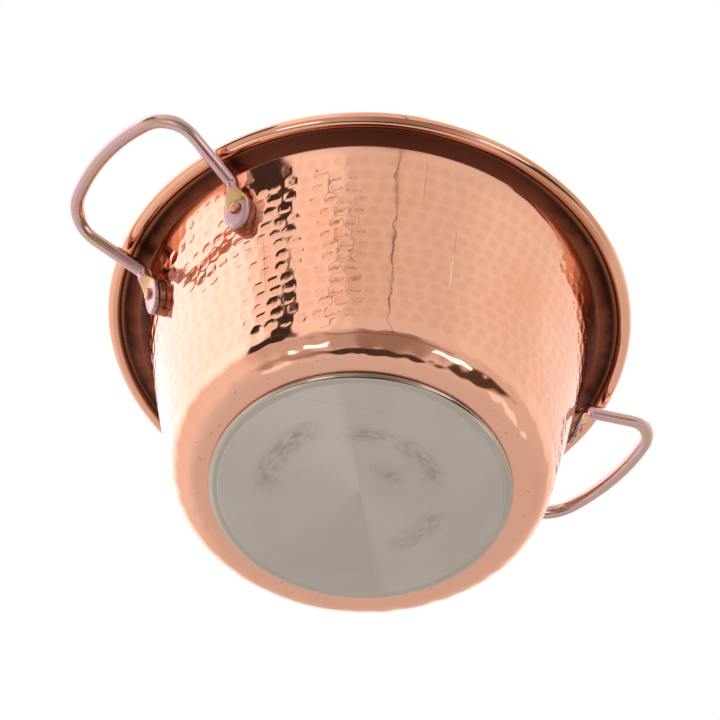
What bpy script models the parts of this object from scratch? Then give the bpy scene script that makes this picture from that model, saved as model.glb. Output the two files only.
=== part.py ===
"""Hammered copper polenta pot with an induction base.

Metres, +Z up.  The origin is the centre of the base's underside, so the pot stands on z = 0.
The two riveted handles lie along X.  Everything is fixed: nothing on the pot moves.
"""
import math

import bmesh
import bpy
from mathutils import Matrix, Vector

# The copper shell: one spun sheet with a flange, and a bead curled round a wire.
COPPER_SHEET = 0.0012
RIM_RADIUS = 0.1400             # outside of the bead
BEAD_RADIUS = 0.0040
BEAD_CENTRE_HEIGHT = 0.1314
CURL_GAP = 0.0003               # between the curl's free edge and the sheet that rises beside it
CURL_END_ANGLE = math.radians(-165)
FLANGE_WIDTH = 0.01026          # from the wall's top to the bead
FLANGE_DROP = 0.0050            # from the bead's centre down to the wall's top
FLANGE_RISE = 0.0028            # climb of the flange from the wall to the bead
FLANGE_FILLET = 0.0020
WALL_FOOT_RADIUS = 0.0951       # where the wall's line would meet the bottom
FOOT_FILLET = 0.0158
WIRE_SLACK = 0.0004             # between the rim wire and the curl round it

# The base: an aluminium core under a pressed steel cap, below the copper bottom.
BASE_STEP = 0.0030              # height of the copper bottom above the table
CAP_SHEET = 0.0006
CAP_RADIUS = 0.0773
CAP_SHOULDER_WIDTH = 0.0051
CAP_LIP_HEIGHT = 0.0005         # upright edge above the shoulder

# The handles: one rod each, bent to a loop, its two ends flattened to palms.
ROD_RADIUS = 0.00375
PALM_HALF_WIDTH = 0.0078
PALM_THICKNESS = 0.0030
PALM_BELOW_RIVET = 0.0122
PALM_FULL_WIDTH_LENGTH = 0.0020     # above the rivet, before the palm narrows to the rod
PALM_TAPER_LENGTH = 0.0105
NECK_INNER_BEND = 0.00125       # radius on the hollow side of the bend out of the palm
NECK_BELOW_WALL_TOP = 0.0084
LOOP_LENGTH = 0.0572            # in the loop's plane, from the neck to the middle of the grip
LOOP_RISE_ANGLE = math.radians(17.6)
GRIP_HALF_WIDTH = 0.0461
GRIP_BOW = 0.0116
GRIP_CORNER_RADIUS = 0.0204
RIVET_ANGLE = math.radians(17.8)    # round the pot, from the handle's middle to each rivet

# The pads under the palms, and the rivets.
PAD_THICKNESS = 0.0015
PAD_MARGIN = 0.0005             # how far the pad shows past the palm
PAD_ABOVE_RIVET = 0.0092
SHANK_RADIUS = 0.0023
PEENED_RADIUS = 0.0029
PEENED_HEIGHT = 0.0018
PEENED_ROUND = 0.0008
HEAD_RADIUS = 0.0055
HEAD_HEIGHT = 0.0026
HEAD_EDGE_HEIGHT = 0.0004

CLEARANCE = 0.0003              # between pieces that touch
CUT_OVERRUN = 0.0030
MERGE_DISTANCE = 0.00002

# How finely the round shapes are divided.
POT_STEPS = 60
FOOT_STEPS = 6
FLANGE_STEPS = 3
CLIMB_STEPS = 4
CURL_STEPS = 10
WIRE_SIDES = 8
SHOULDER_STEPS = 5
ROD_SIDES = 12
PALM_TIP_STEPS = 5
PALM_TAPER_STEPS = 5
NECK_STEPS = 4
GRIP_CORNER_STEPS = 6
GRIP_STEPS = 5
PAD_STEPS = 6
RIVET_STEPS = 16
RIVET_DOME_STEPS = 4

# Shares and powers that shape the palms.
TIP_START_SHARE = 0.1           # of the tip's quarter turn, where its blunt end lies
TIP_ROUND_POWER = 0.8
TAPER_THICKNESS_POWER = 1.5
PALM_SQUARENESS = 3.5           # 2 is an ellipse
ROD_SQUARENESS = 2.0
NECK_ROOM_SHARE = 0.8           # of the neck's bend radius, kept straight below the bend
FILLET_ROOM_SHARE = 0.7         # the most of a neighbouring line that a fillet may take

WALL_TOP_RADIUS = RIM_RADIUS - 2 * BEAD_RADIUS - FLANGE_WIDTH
WALL_TOP_HEIGHT = BEAD_CENTRE_HEIGHT - FLANGE_DROP
WALL_LEAN = math.atan2(WALL_TOP_RADIUS - WALL_FOOT_RADIUS, WALL_TOP_HEIGHT - BASE_STEP)
BEAD_CENTRE = (RIM_RADIUS - BEAD_RADIUS, BEAD_CENTRE_HEIGHT)
CAP_TOP = BASE_STEP - CLEARANCE
CAP_SHOULDER_CENTRE = (CAP_RADIUS - CAP_SHOULDER_WIDTH, CAP_TOP - CAP_LIP_HEIGHT)
NECK_BEND_RADIUS = ROD_RADIUS + NECK_INNER_BEND
NECK_ABOVE_RIVET = PALM_FULL_WIDTH_LENGTH + PALM_TAPER_LENGTH + NECK_BEND_RADIUS * NECK_ROOM_SHARE
RIVET_HEIGHT = WALL_TOP_HEIGHT - NECK_BELOW_WALL_TOP - NECK_ABOVE_RIVET * math.cos(WALL_LEAN)
RIVET_WALL_RADIUS = WALL_FOOT_RADIUS + (RIVET_HEIGHT - BASE_STEP) * math.tan(WALL_LEAN)
# Distances out of the wall's outer face.
PAD_OFFSET = CLEARANCE
PALM_OFFSET = PAD_OFFSET + PAD_THICKNESS + CLEARANCE
PEENED_OFFSET = PALM_OFFSET + PALM_THICKNESS + CLEARANCE
# The wall curves towards a rivet's flat head, which so sits this much further in.
HEAD_SEAT = -COPPER_SHEET - CLEARANCE - HEAD_RADIUS ** 2 / (2 * WALL_FOOT_RADIUS)

HANDLE_TURNS = {"right": 0.0, "left": math.pi}
# Which way round the pot each rivet lies from its handle's middle.
RIVET_SIGNS = {("right", "front"): -1, ("right", "back"): 1,
               ("left", "front"): 1, ("left", "back"): -1}


def clear_scene():
    for old in list(bpy.data.objects):
        bpy.data.objects.remove(old, do_unlink=True)


def collection(name):
    made = bpy.data.collections.new(name)
    bpy.context.scene.collection.children.link(made)
    return made


def material(name, colour, roughness):
    made = bpy.data.materials.new(name)
    made.use_nodes = True
    shader = made.node_tree.nodes["Principled BSDF"]
    shader.inputs["Base Color"].default_value = (*colour, 1)
    shader.inputs["Roughness"].default_value = roughness
    shader.inputs["Metallic"].default_value = 1
    made.diffuse_color = (*colour, 1)
    return made


def add_object(name, mesh, group, finish=None):
    made = bpy.data.objects.new(name, mesh)
    group.objects.link(made)
    if finish:
        mesh.materials.append(finish)
        mesh.shade_smooth()
        mesh.set_sharp_from_angle(angle=math.radians(35))
    return made


def mesh_from(name, shape):
    """A mesh of the faces in a bmesh, all turned outwards."""
    bmesh.ops.recalc_face_normals(shape, faces=shape.faces)
    mesh = bpy.data.meshes.new(name)
    shape.to_mesh(mesh)
    shape.free()
    return mesh


def arc(centre, wide, tall, start, end, steps):
    """Points in a plane along part of an ellipse, given its half width and half height."""
    turns = [start + (end - start) * i / steps for i in range(steps + 1)]
    return [(centre[0] + wide * math.cos(t), centre[1] + tall * math.sin(t)) for t in turns]


def fillet(before, corner, after, radius, steps):
    """The arc that rounds a corner between two straight lines, in the plane or in space."""
    before, corner, after = (Vector(p).to_3d() for p in (before, corner, after))
    a = (before - corner).normalized()
    b = (after - corner).normalized()
    half = a.angle(b) / 2
    room = FILLET_ROOM_SHARE * min((before - corner).length, (after - corner).length)
    reach = min(radius / math.tan(half), room)
    start = corner + a * reach
    centre = corner + (a + b).normalized() * reach / math.cos(half)
    spoke = start - centre
    axis = spoke.cross(-a)
    turn = math.pi - 2 * half
    return [centre + Matrix.Rotation(turn * i / steps, 3, axis) @ spoke for i in range(steps + 1)]


def turned(name, profile, group, finish, steps, closed=False):
    """Turns a profile of (radius, height) points, listed from the top down, about Z."""
    mesh = bpy.data.meshes.new(name)
    edges = [(i, i + 1) for i in range(len(profile) - 1)]
    if closed:
        edges.append((len(profile) - 1, 0))
    mesh.from_pydata([(point[0], 0, point[1]) for point in profile], edges, [])
    made = add_object(name, mesh, group, finish)
    screw = made.modifiers.new("turn", "SCREW")
    screw.steps = screw.render_steps = steps
    screw.use_merge_vertices = True
    screw.merge_threshold = MERGE_DISTANCE
    screw.use_smooth_shade = True
    return made


def thicken(made, thickness):
    """Gives a turned outer face its sheet's thickness, on the inner side."""
    sheet = made.modifiers.new("sheet", "SOLIDIFY")
    sheet.thickness = thickness
    sheet.offset = -1
    sheet.use_even_offset = True


def cut(made, cutter):
    hole = made.modifiers.new("hole", "BOOLEAN")
    hole.operation = "DIFFERENCE"
    hole.object = cutter


def climb_points():
    """The sheet beside the curl, drawn in from the curl's outside to its inside as it climbs."""
    outside = BEAD_RADIUS + CURL_GAP
    inside = BEAD_RADIUS - COPPER_SHEET
    points = []
    for i in range(CLIMB_STEPS):
        share = i / CLIMB_STEPS
        radius = outside + (inside - outside) * share
        turn = math.pi * (1 - share / 2)
        points.append((BEAD_CENTRE[0] + radius * math.cos(turn),
                       BEAD_CENTRE[1] + radius * math.sin(turn)))
    return points


def shell_profile():
    """The copper sheet's outer face, from the curl's free edge down to the middle of the bottom."""
    middle = (0, BASE_STEP)
    foot = (WALL_FOOT_RADIUS, BASE_STEP)
    wall_top = (WALL_TOP_RADIUS, WALL_TOP_HEIGHT)
    climb = climb_points()
    flange_end = (climb[0][0], WALL_TOP_HEIGHT + FLANGE_RISE)
    inside = BEAD_RADIUS - COPPER_SHEET
    points = [middle]
    points += [p.xy for p in fillet(middle, foot, wall_top, FOOT_FILLET, FOOT_STEPS)]
    points += [p.xy for p in fillet(foot, wall_top, flange_end, FLANGE_FILLET, FLANGE_STEPS)]
    points += [p.xy for p in fillet(wall_top, flange_end, climb[0], FLANGE_FILLET, FLANGE_STEPS)]
    points += climb
    points += arc(BEAD_CENTRE, inside, inside, math.pi / 2, CURL_END_ANGLE, CURL_STEPS)
    return points[::-1]


def wire_profile():
    radius = BEAD_RADIUS - COPPER_SHEET - WIRE_SLACK
    return arc(BEAD_CENTRE, radius, radius, math.pi / 2, -math.pi * 3 / 2, WIRE_SIDES)[:-1]


def cap_profile():
    """The steel cap's outer face, from its upper edge down to its middle."""
    shoulder = arc(CAP_SHOULDER_CENTRE, CAP_SHOULDER_WIDTH, CAP_SHOULDER_CENTRE[1],
                   0, -math.pi / 2, SHOULDER_STEPS)
    return [(CAP_RADIUS, CAP_TOP)] + shoulder + [(0, 0)]


def core_profile():
    radius = CAP_RADIUS - CAP_SHEET - CLEARANCE
    low = CAP_SHEET + CLEARANCE
    return [(0, CAP_TOP), (radius, CAP_TOP), (radius, CAP_SHOULDER_CENTRE[1]),
            (CAP_SHOULDER_CENTRE[0], low), (0, low)]


def wall_axes(turn):
    """A rivet's place on the wall's outer face, and the axes across, up and out of the wall."""
    radial = Vector((math.cos(turn), math.sin(turn), 0))
    upright = Vector((0, 0, 1))
    across = Vector((-math.sin(turn), math.cos(turn), 0))
    up = radial * math.sin(WALL_LEAN) + upright * math.cos(WALL_LEAN)
    out = radial * math.cos(WALL_LEAN) - upright * math.sin(WALL_LEAN)
    return radial * RIVET_WALL_RADIUS + upright * RIVET_HEIGHT, across, up, out


def on_wall(turn):
    """The matrix that stands a piece modelled along +Z on the wall at a rivet."""
    place, across, up, out = wall_axes(turn)
    made = Matrix((across, up, out)).transposed().to_4x4()
    made.translation = place
    return made


def hole_cutter(name, turn, group):
    """A pin through wall, pad and palm that leaves the rivet's shank its clearance."""
    low = -COPPER_SHEET - CUT_OVERRUN
    high = PEENED_OFFSET + CUT_OVERRUN
    shape = bmesh.new()
    bmesh.ops.create_cone(shape, cap_ends=True, segments=RIVET_STEPS, depth=high - low,
                          radius1=SHANK_RADIUS + CLEARANCE, radius2=SHANK_RADIUS + CLEARANCE,
                          matrix=Matrix.Translation((0, 0, (high + low) / 2)))
    made = add_object(name, mesh_from(name, shape), group)
    made.matrix_world = on_wall(turn)
    made.hide_render = True
    made.display_type = "WIRE"
    return made


def palm_sections():
    """Sections of a flattened end from its tip to the neck: height above the rivet, half width,
    half thickness and how far the palm has become rod, from 0 to 1."""
    sections = []
    for i in range(PALM_TIP_STEPS + 1):
        share = TIP_START_SHARE + (1 - TIP_START_SHARE) * i / PALM_TIP_STEPS
        turn = share * math.pi / 2
        sections.append((-PALM_BELOW_RIVET * math.cos(turn),
                         PALM_HALF_WIDTH * math.sin(turn) ** TIP_ROUND_POWER,
                         PALM_THICKNESS / 2, 0))
    for i in range(PALM_TAPER_STEPS + 1):
        along = i / PALM_TAPER_STEPS
        share = along * along * (3 - 2 * along)
        growth = share ** TAPER_THICKNESS_POWER
        sections.append((PALM_FULL_WIDTH_LENGTH + PALM_TAPER_LENGTH * along,
                         PALM_HALF_WIDTH + (ROD_RADIUS - PALM_HALF_WIDTH) * share,
                         PALM_THICKNESS / 2 + (ROD_RADIUS - PALM_THICKNESS / 2) * growth,
                         share))
    return sections


def loop_path(neck):
    """Half of the loop's centreline, from the leg's middle to the middle of the grip."""
    grip_radius = (GRIP_HALF_WIDTH ** 2 + GRIP_BOW ** 2) / (2 * GRIP_BOW)
    grip_centre = Vector((LOOP_LENGTH - grip_radius, 0))
    start = Vector((0, neck.y))
    leg = (Vector((LOOP_LENGTH - GRIP_BOW, GRIP_HALF_WIDTH)) - start).normalized()
    inward = Vector((leg.y, -leg.x))
    # The corner's circle touches the leg's line and lies inside the grip's circle.
    offset = start + inward * GRIP_CORNER_RADIUS - grip_centre
    along = offset.dot(leg)
    leg_length = math.sqrt(along ** 2 - offset.length_squared
                           + (grip_radius - GRIP_CORNER_RADIUS) ** 2) - along
    leg_end = start + leg * leg_length
    corner = leg_end + inward * GRIP_CORNER_RADIUS
    begin = math.atan2(-inward.y, -inward.x)
    turn = math.atan2(corner.y - grip_centre.y, corner.x - grip_centre.x)
    flat = [start + leg * leg_length / 2]
    flat += arc(corner, GRIP_CORNER_RADIUS, GRIP_CORNER_RADIUS, begin, turn, GRIP_CORNER_STEPS)
    flat += arc(grip_centre, grip_radius, grip_radius, turn, 0, GRIP_STEPS)[1:]
    run, rise = math.cos(LOOP_RISE_ANGLE), math.sin(LOOP_RISE_ANGLE)
    return [Vector((neck.x + p[0] * run, p[1], neck.z + p[0] * rise)) for p in flat]


def handle_rings():
    """Sections of half a handle at +X, from the palm's tip to the plane y = 0, each as
    (centre, width axis, thickness axis, half width, half thickness, squareness)."""
    rivet, across, up, out = wall_axes(RIVET_ANGLE)
    rings = []
    for height, wide, thick, share in palm_sections():
        centre = rivet + up * height + out * (PALM_OFFSET + thick)
        squareness = PALM_SQUARENESS + (ROD_SQUARENESS - PALM_SQUARENESS) * share
        rings.append((centre, across, out, wide, thick, squareness))
    neck = rivet + up * NECK_ABOVE_RIVET + out * (PALM_OFFSET + ROD_RADIUS)
    path = loop_path(neck)
    line = fillet(rings[-1][0], neck, path[0], NECK_BEND_RADIUS, NECK_STEPS) + path
    side, normal = across, out
    for i, point in enumerate(line):
        if i == 0:
            tangent = up
        elif i == len(line) - 1:
            tangent = Vector((0, -1, 0))
        else:
            tangent = (line[i + 1] - line[i - 1]).normalized()
        # Each section keeps the bearing of the last one, tilted square to the new direction.
        side = (side - tangent * side.dot(tangent)).normalized()
        turned_normal = side.cross(tangent)
        normal = turned_normal if turned_normal.dot(normal) > 0 else -turned_normal
        rings.append((point, side, normal, ROD_RADIUS, ROD_RADIUS, ROD_SQUARENESS))
    return rings


def section_points(ring):
    centre, side, normal, wide, thick, squareness = ring
    points = []
    for i in range(ROD_SIDES):
        turn = math.tau * (i + 0.5) / ROD_SIDES
        c, s = math.cos(turn), math.sin(turn)
        x = math.copysign(abs(c) ** (2 / squareness), c) * wide
        y = math.copysign(abs(s) ** (2 / squareness), s) * thick
        points.append(centre + side * x + normal * y)
    return points


def handle(name, turn, group, finish, cutters):
    """Lofts half a handle from palm to grip, mirrors it, and drills its two palms."""
    shape = bmesh.new()
    rows = [[shape.verts.new(p) for p in section_points(ring)] for ring in handle_rings()]
    for lower, upper in zip(rows, rows[1:]):
        for i in range(ROD_SIDES):
            j = (i + 1) % ROD_SIDES
            shape.faces.new((lower[i], lower[j], upper[j], upper[i]))
    shape.faces.new(rows[0][::-1])
    made = add_object(name, mesh_from(name, shape), group, finish)
    made.rotation_euler.z = turn
    halves = made.modifiers.new("halves", "MIRROR")
    halves.use_axis = (False, True, False)
    halves.merge_threshold = MERGE_DISTANCE
    for cutter in cutters:
        cut(made, cutter)
    return made


def pad(name, turn, group, finish, cutter):
    """An oval plate between the wall and a palm."""
    wide = PALM_HALF_WIDTH + PAD_MARGIN
    below = PALM_BELOW_RIVET + PAD_MARGIN
    outline = arc((0, 0), wide, below, -math.pi, 0, 2 * PAD_STEPS)[:-1]
    outline += arc((0, 0), wide, PAD_ABOVE_RIVET, 0, math.pi, 2 * PAD_STEPS)[:-1]
    shape = bmesh.new()
    face = shape.faces.new([shape.verts.new((x, y, PAD_OFFSET)) for x, y in outline])
    grown = bmesh.ops.extrude_face_region(shape, geom=[face])
    top = [v for v in grown["geom"] if isinstance(v, bmesh.types.BMVert)]
    bmesh.ops.translate(shape, verts=top, vec=(0, 0, PAD_THICKNESS))
    made = add_object(name, mesh_from(name, shape), group, finish)
    made.matrix_world = on_wall(turn)
    cut(made, cutter)
    return made


def rivet_profile():
    """From the peened end outside the palm, down the shank, to the domed head in the pot."""
    peened_top = PEENED_OFFSET + PEENED_HEIGHT
    peened_corner = (PEENED_RADIUS - PEENED_ROUND, peened_top - PEENED_ROUND)
    points = [(0, peened_top)]
    points += arc(peened_corner, PEENED_ROUND, PEENED_ROUND, math.pi / 2, 0, 2)
    points += [(PEENED_RADIUS, PEENED_OFFSET), (SHANK_RADIUS, PEENED_OFFSET)]
    points += [(SHANK_RADIUS, HEAD_SEAT), (HEAD_RADIUS, HEAD_SEAT)]
    points += arc((0, HEAD_SEAT - HEAD_EDGE_HEIGHT), HEAD_RADIUS, HEAD_HEIGHT - HEAD_EDGE_HEIGHT,
                  0, -math.pi / 2, RIVET_DOME_STEPS)
    return points


def build():
    clear_scene()
    pot = collection("polenta_pot")
    helpers = collection("cutters")
    copper = material("copper", (0.82, 0.42, 0.27), 0.22)
    steel = material("satin_steel", (0.50, 0.48, 0.45), 0.38)
    zinc = material("yellow_zinc", (0.52, 0.44, 0.42), 0.32)
    aluminium = material("aluminium", (0.70, 0.71, 0.72), 0.45)
    wire_steel = material("wire_steel", (0.35, 0.35, 0.36), 0.50)

    rivet_turns = {place: HANDLE_TURNS[place[0]] + sign * RIVET_ANGLE
                   for place, sign in RIVET_SIGNS.items()}
    cutters = {place: hole_cutter("hole_" + "_".join(place), turn, helpers)
               for place, turn in rivet_turns.items()}

    body = turned("copper_body", shell_profile(), pot, copper, POT_STEPS)
    thicken(body, COPPER_SHEET)
    for cutter in cutters.values():
        cut(body, cutter)
    turned("rim_wire", wire_profile(), pot, wire_steel, POT_STEPS, closed=True)
    thicken(turned("base_cap", cap_profile(), pot, steel, POT_STEPS), CAP_SHEET)
    turned("base_core", core_profile(), pot, aluminium, POT_STEPS)

    for side, turn in HANDLE_TURNS.items():
        drills = [cutter for place, cutter in cutters.items() if place[0] == side]
        handle("handle_" + side, turn, pot, zinc, drills)
    for place, turn in rivet_turns.items():
        tail = "_".join(place)
        pad("pad_" + tail, turn, pot, copper, cutters[place])
        rivet = turned("rivet_" + tail, rivet_profile(), pot, copper, RIVET_STEPS)
        rivet.matrix_world = on_wall(turn)


build()
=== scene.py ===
import math

import bmesh
import bpy
import numpy as np
from mathutils import Matrix, Vector


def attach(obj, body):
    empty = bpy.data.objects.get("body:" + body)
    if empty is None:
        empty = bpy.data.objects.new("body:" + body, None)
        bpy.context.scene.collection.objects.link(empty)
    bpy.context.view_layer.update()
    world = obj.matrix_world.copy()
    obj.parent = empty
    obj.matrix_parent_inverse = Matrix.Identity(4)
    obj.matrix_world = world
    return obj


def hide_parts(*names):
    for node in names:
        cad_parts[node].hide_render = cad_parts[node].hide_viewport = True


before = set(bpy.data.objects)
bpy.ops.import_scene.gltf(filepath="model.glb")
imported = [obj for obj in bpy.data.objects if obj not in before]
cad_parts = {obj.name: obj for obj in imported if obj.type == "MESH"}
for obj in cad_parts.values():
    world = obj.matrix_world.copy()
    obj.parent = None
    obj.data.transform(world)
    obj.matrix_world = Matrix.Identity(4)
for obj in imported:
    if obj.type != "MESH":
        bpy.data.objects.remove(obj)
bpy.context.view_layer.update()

# The sizes of the solids.
COPPER_SHEET = 0.0012
RIM_RADIUS = 0.1400
BEAD_RADIUS = 0.0040
BEAD_CENTRE_HEIGHT = 0.1314
CURL_GAP = 0.0003
CURL_END_ANGLE = math.radians(-165)
FLANGE_WIDTH = 0.01026
FLANGE_DROP = 0.0050
FLANGE_RISE = 0.0028
WALL_FOOT_RADIUS = 0.0951
FOOT_FILLET = 0.0158
BASE_STEP = 0.0030
CAP_RADIUS = 0.0773
CAP_SHOULDER_WIDTH = 0.0051
CAP_LIP_HEIGHT = 0.0005
ROD_RADIUS = 0.00375
PALM_HALF_WIDTH = 0.0078
PALM_THICKNESS = 0.0030
PALM_BELOW_RIVET = 0.0122
PALM_FULL_WIDTH_LENGTH = 0.0020
PALM_TAPER_LENGTH = 0.0105
NECK_INNER_BEND = 0.00125
NECK_BELOW_WALL_TOP = 0.0084
LOOP_LENGTH = 0.0572
LOOP_RISE_ANGLE = math.radians(17.6)
GRIP_HALF_WIDTH = 0.0461
GRIP_BOW = 0.0116
GRIP_CORNER_RADIUS = 0.0204
RIVET_ANGLE = math.radians(17.8)
PAD_THICKNESS = 0.0015
PAD_MARGIN = 0.0005
PAD_ABOVE_RIVET = 0.0092
SHANK_RADIUS = 0.0023
PEENED_RADIUS = 0.0029
PEENED_HEIGHT = 0.0018
HEAD_RADIUS = 0.0055
HEAD_HEIGHT = 0.0026
HEAD_EDGE_HEIGHT = 0.0004
CLEARANCE = 0.0003

WALL_TOP_RADIUS = RIM_RADIUS - 2 * BEAD_RADIUS - FLANGE_WIDTH
WALL_TOP_HEIGHT = BEAD_CENTRE_HEIGHT - FLANGE_DROP
WALL_LEAN = math.atan2(WALL_TOP_RADIUS - WALL_FOOT_RADIUS, WALL_TOP_HEIGHT - BASE_STEP)
WALL_LENGTH = (WALL_TOP_HEIGHT - BASE_STEP) / math.cos(WALL_LEAN)
BEAD_CENTRE = (RIM_RADIUS - BEAD_RADIUS, BEAD_CENTRE_HEIGHT)
CAP_TOP = BASE_STEP - CLEARANCE
NECK_BEND_RADIUS = ROD_RADIUS + NECK_INNER_BEND
NECK_ABOVE_RIVET = PALM_FULL_WIDTH_LENGTH + PALM_TAPER_LENGTH + NECK_BEND_RADIUS * 0.8
RIVET_HEIGHT = WALL_TOP_HEIGHT - NECK_BELOW_WALL_TOP - NECK_ABOVE_RIVET * math.cos(WALL_LEAN)
RIVET_WALL_RADIUS = WALL_FOOT_RADIUS + (RIVET_HEIGHT - BASE_STEP) * math.tan(WALL_LEAN)
PAD_OFFSET = CLEARANCE
PALM_OFFSET = PAD_OFFSET + PAD_THICKNESS + CLEARANCE
PALM_FACE_OFFSET = PALM_OFFSET + PALM_THICKNESS
PAD_SUNK = 0.0013               # the pads reach down to the wall, which draws in under them

# The turned groove inside the cap's shoulder: from where the shoulder starts, and how deep.
SHOULDER_GROOVE = ((-0.0004, 0), (0.0000, 0.00004), (0.0003, 0.00018), (0.0006, 0.00020),
                   (0.0009, 0.00008), (0.0012, 0))

# The hammer marks, in level rows round the wall.
MARK_ROWS = 14
FIRST_ROW = 0.0203              # up the wall from where it would meet the bottom
ROW_PITCH = 0.00685
ROW_PITCH_GROWTH = 0.0001
MARK_PITCH = 0.0082
TOP_MARK_PITCH = 0.0069
MARK_HALF_WIDTH = 0.0037
MARK_HALF_HEIGHT = 0.0035
MARK_DEPTH = 0.00010
MARK_SQUARENESS = 2.4
FOOT_WAVE_DEPTH = 0.00011
WALL_WAVE_DEPTH = 0.000015

# The wall isn't quite straight: it bends all the way up, most at its ends, and draws in a little
# towards its smooth top, which flares out into the flange's sharp bend.
BEND = 0.0008
BEND_MIDDLE = 0.060             # up the wall, as for the rows of marks
BEND_REACH = 0.050
WAIST = 0.0023
FLARE_START = 0.1103
FLARE = 0.0016
CORNER_RADIUS = 0.0004
FLANGE_OVERLAP = 0.00094        # how far the flange's end reaches under the bead's inner side
CORNER_LEG = 0.003              # how far below the corner the wall's direction is taken
CURL_STEPS = 14

# How finely the copper is divided round the pot.
FINE_SIDES = 528
MIDDLE_SIDES = 264
COARSE_SIDES = 132

# The camera of the photograph, in pixels of its 720 by 720 frame and in degrees.
PHOTO_SIZE = 720
FOCAL_PIXELS = 3373.5
CAMERA_DISTANCE = 1.70588
CAMERA_ELEVATION = math.radians(-47.19)
CAMERA_AZIMUTH = math.radians(-36.45)
CAMERA_ROLL = math.radians(3.0)
ORIGIN_PIXEL = (360.09, 491.66)
FRONT = CAMERA_AZIMUTH - math.pi / 2        # the side of the pot that faces this camera

# How deep the marks are round the pot, as shares, by the angle in degrees from that side.
DEPTH_BY_SIDE = ((-180, 0.8), (-100, 1.0), (-5, 1.0), (2, 0.16), (14, 0.16), (22, 0.3), (55, 0.4),
                 (75, 0.7), (180, 0.8))


def arc(centre, radius, start, end, steps):
    turns = np.linspace(start, end, steps + 1)
    return [(centre[0] + radius * math.cos(t), centre[1] + radius * math.sin(t)) for t in turns]


def fillet(before, corner, after, radius, steps):
    """The arc that rounds a corner between two straight lines, in the plane or in space."""
    before, corner, after = (Vector(p).to_3d() for p in (before, corner, after))
    a = (before - corner).normalized()
    b = (after - corner).normalized()
    half = a.angle(b) / 2
    reach = radius / math.tan(half)
    start = corner + a * reach
    centre = corner + (a + b).normalized() * reach / math.cos(half)
    spoke = start - centre
    axis = spoke.cross(-a)
    turn = math.pi - 2 * half
    return [centre + Matrix.Rotation(turn * i / steps, 3, axis) @ spoke for i in range(steps + 1)]


def smoothstep(low, high, x):
    t = np.clip((x - low) / (high - low), 0, 1)
    return t * t * (3 - 2 * t)


def ring(radius, height, count):
    turns = np.arange(count) * math.tau / count
    return np.stack([radius * np.cos(turns), radius * np.sin(turns), np.full(count, height)], 1)


def skin_faces(rings):
    """Faces between neighbouring rings, whose counts are equal, multiples of each other, or 1."""
    faces = []
    start = 0
    for lower, upper in zip(rings, rings[1:]):
        n, m = len(lower), len(upper)
        low, high = start, start + n
        start = high
        for i in range(min(n, m) if min(n, m) > 1 else max(n, m)):
            if m == 1:
                faces.append((low + i, low + (i + 1) % n, high))
            elif n == 1:
                faces.append((low, high + (i + 1) % m, high + i))
            else:
                a, b = n // min(n, m), m // min(n, m)
                below = [low + (i * a + k) % n for k in range(a + 1)]
                above = [high + (i * b + k) % m for k in range(b + 1)]
                faces.append(below + above[::-1])
    return faces


def closed_tube_faces(point_count, sides):
    """Faces round a tube of equal rings, with both its ends closed."""
    last = point_count - sides
    faces = [list(range(sides))[::-1]]
    for start in range(0, last, sides):
        for i in range(sides):
            k = (i + 1) % sides
            faces.append((start + i, start + k, start + sides + k, start + sides + i))
    faces.append(list(range(last, point_count)))
    return faces


def new_piece(name, points, faces, material, sharp_angle=None):
    mesh = bpy.data.meshes.new(name)
    mesh.from_pydata([tuple(p) for p in points], [], faces)
    mesh.validate()
    made = bpy.data.objects.new(name, mesh)
    bpy.context.scene.collection.objects.link(made)
    mesh.materials.append(material)
    mesh.shade_smooth()
    if sharp_angle:
        mesh.set_sharp_from_angle(angle=sharp_angle)
    return made


def place(piece, slot, *nodes):
    """The piece stands for those solids and moves with the pot; the slot is not used."""
    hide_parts(*nodes)
    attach(piece, "root")


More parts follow.
